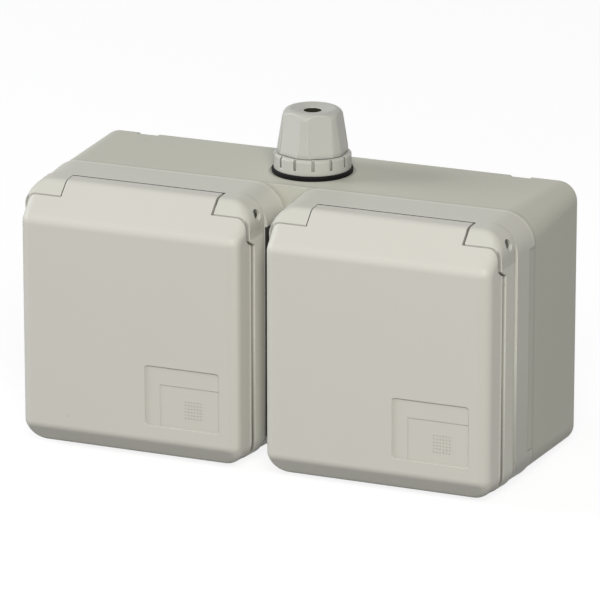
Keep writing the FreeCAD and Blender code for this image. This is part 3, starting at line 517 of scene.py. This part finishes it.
def makeLabelDots(side):
    tree = newGeometryTree(side + "LabelDots")
    span = label["step"] * (label["across"] - 1) * mm
    grid = addNode(tree, "GeometryNodeMeshGrid", (-4, 0), values={
        "Size X": span, "Size Y": span, "Vertices X": label["across"], "Vertices Y": label["across"]})
    points = addNode(tree, "GeometryNodeMeshToPoints", (-2, 0))
    dot = addNode(tree, "GeometryNodeMeshUVSphere", (-2, 3), values={
        "Segments": label["segments"], "Rings": label["rings"], "Radius": label["dot"] * mm})
    spread = addNode(tree, "GeometryNodeInstanceOnPoints", (0, 0), values={"Scale": (1, 1, label["high"])})
    centreX = unitCentre[side] + label["centreX"]
    move = addNode(tree, "GeometryNodeTransform", (2, 0), values={
        "Translation": (centreX * mm, label["floor"] * mm, label["centreZ"] * mm),
        "Rotation": (math.pi / 2, 0, 0)})
    tree.links.new(grid.outputs["Mesh"], points.inputs[0])
    tree.links.new(points.outputs[0], spread.inputs["Points"])
    tree.links.new(dot.outputs["Mesh"], spread.inputs["Instance"])
    tree.links.new(spread.outputs[0], move.inputs["Geometry"])
    bakeTree(side + "LabelDots", tree, move.outputs[0], materials["shadedMarkPlastic"], side + "_cover")


# The dark rubber sleeve of the gland's seal, seen in the mouth of the nut, in millimetres. Its dark colour
# is partly the rubber's own and partly painted shade deep in the bore.
sleeve = {"bore": 2.6, "play": 0.03, "lip": 0.35, "mouth": 56.25, "inside": 51.15, "steps": 48}


def makeSleeve():
    outer = sleeve["bore"] - sleeve["play"]
    inner = outer - sleeve["lip"]
    rings = [(outer, sleeve["inside"]), (outer, sleeve["mouth"]), (inner, sleeve["mouth"] - sleeve["lip"]),
             (inner, sleeve["inside"])]
    steps = sleeve["steps"]
    verts = []
    for radius, height in rings:
        for i in range(steps):
            turn = 2 * math.pi * i / steps
            verts.append((radius * math.cos(turn) * mm, (glandCentre + radius * math.sin(turn)) * mm,
                          height * mm))
    faces = []
    for ring in range(len(rings)):
        near, far = ring * steps, (ring + 1) % len(rings) * steps
        for i in range(steps):
            j = (i + 1) % steps
            faces.append((near + i, near + j, far + j, far + i))
    mesh = bpy.data.meshes.new("glandSleeve")
    mesh.from_pydata(verts, [], faces)
    mesh.materials.append(materials["sleeveRubber"])
    for face in mesh.polygons:
        face.use_smooth = True
    newPiece("glandSleeve", mesh, "gland_insert")


makeThread()
for side in sides:
    makeLabelDots(side)
makeSleeve()
print("small pieces added")

# The paper floor, in metres. The camera and reflections see a glow on it that makes it look white.
paper = {"drop": 0.4 * mm, "size": 6.0, "colour": (0.2, 0.2, 0.2, 1), "glow": 0.86}


def makeFloor():
    height = cadLow.z - paper["drop"]
    bpy.ops.mesh.primitive_plane_add(size=paper["size"], location=(0, 0, height))
    floor = bpy.context.object
    floor.name = "floor"
    material = bpy.data.materials.new("floorPaper")
    material.use_nodes = True
    tree = material.node_tree
    shader = tree.nodes["Principled BSDF"]
    shader.inputs["Base Color"].default_value = paper["colour"]
    shader.inputs["Roughness"].default_value = 1.0
    shader.inputs["Specular IOR Level"].default_value = 0.0
    seen = addNode(tree, "ShaderNodeLightPath", (-3, 2))
    direct = chain(tree, "ADD", (-2, 2), seen.outputs["Is Camera Ray"], seen.outputs["Is Glossy Ray"],
                   clamp=True)
    glow = mathNode(tree, "MULTIPLY", (-1, 2), direct, paper["glow"])
    shader.inputs["Emission Color"].default_value = (1, 1, 1, 1)
    tree.links.new(glow, shader.inputs["Emission Strength"])
    floor.data.materials.append(material)


# The white world shines fully where it is seen or mirrored, and this much as a light on the object
worldLight = 0.04


def makeWorld():
    world = bpy.data.worlds.new("studioWorld")
    bpy.context.scene.world = world
    world.use_nodes = True
    tree = world.node_tree
    light = tree.nodes["Background"]
    light.inputs["Color"].default_value = (1, 1, 1, 1)
    seen = addNode(tree, "ShaderNodeLightPath", (-4, 2))
    direct = chain(tree, "MAXIMUM", (-3, 2), seen.outputs["Is Camera Ray"], seen.outputs["Is Glossy Ray"],
                   seen.outputs["Is Transmission Ray"])
    extra = mathNode(tree, "MULTIPLY", (-2, 1), direct, 1.0 - worldLight)
    tree.links.new(mathNode(tree, "ADD", (-1, 1), extra, worldLight), light.inputs["Strength"])


# Two round lamps that aim at the object's middle: places and sizes in metres, powers in watts
lampAim = (0, -0.03, 0)
lamps = {
    "frontLamp": {"place": (0.80, -1.69, 1.17), "size": 1.0, "power": 46.8, "colour": (1.0, 0.985, 0.97)},
    "sideLamp": {"place": (-1.818, -0.424, 0.728), "size": 1.0, "power": 25.2,
                 "colour": (0.93, 0.965, 1.0)},
}


def makeLamp(name, look):
    lamp = bpy.data.objects.new(name, bpy.data.lights.new(name, "AREA"))
    lamp.data.shape = "DISK"
    lamp.data.size = look["size"]
    lamp.data.energy = look["power"]
    lamp.data.color = look["colour"]
    lamp.location = look["place"]
    lamp.rotation_euler = (Vector(lampAim) - lamp.location).to_track_quat("-Z", "Y").to_euler()
    bpy.context.scene.collection.objects.link(lamp)


# The camera stands where the photo's did: turned to the right, looking down, a long way off. Angles are in
# degrees, places in metres, and the lens and its sensor in millimetres.
cameraPlace = {"turn": 22.96, "lift": 17.28, "distance": 1.58556, "aside": 0.010616, "above": 0.004798,
               "lens": 330.0, "sensor": 36.0, "nearest": 0.05}


def makeCamera():
    turn = math.radians(cameraPlace["turn"])
    lift = math.radians(cameraPlace["lift"])
    back = Vector((math.sin(turn) * math.cos(lift), -math.cos(turn) * math.cos(lift), math.sin(lift)))
    right = Vector((math.cos(turn), math.sin(turn), 0))
    up = back.cross(right)
    camera = bpy.data.objects.new("camera", bpy.data.cameras.new("camera"))
    camera.data.lens = cameraPlace["lens"]
    camera.data.sensor_width = cameraPlace["sensor"]
    camera.data.clip_start = cameraPlace["nearest"]
    turned = Matrix((right, up, back)).transposed().to_4x4()
    aside = right * cameraPlace["aside"]
    above = up * cameraPlace["above"]
    turned.translation = back * cameraPlace["distance"] - aside - above
    camera.matrix_world = turned
    bpy.context.scene.collection.objects.link(camera)
    bpy.context.scene.camera = camera


makeFloor()
makeWorld()
for name, look in lamps.items():
    makeLamp(name, look)
makeCamera()
bpy.context.scene.view_settings.view_transform = "Standard"
print("studio and camera placed")
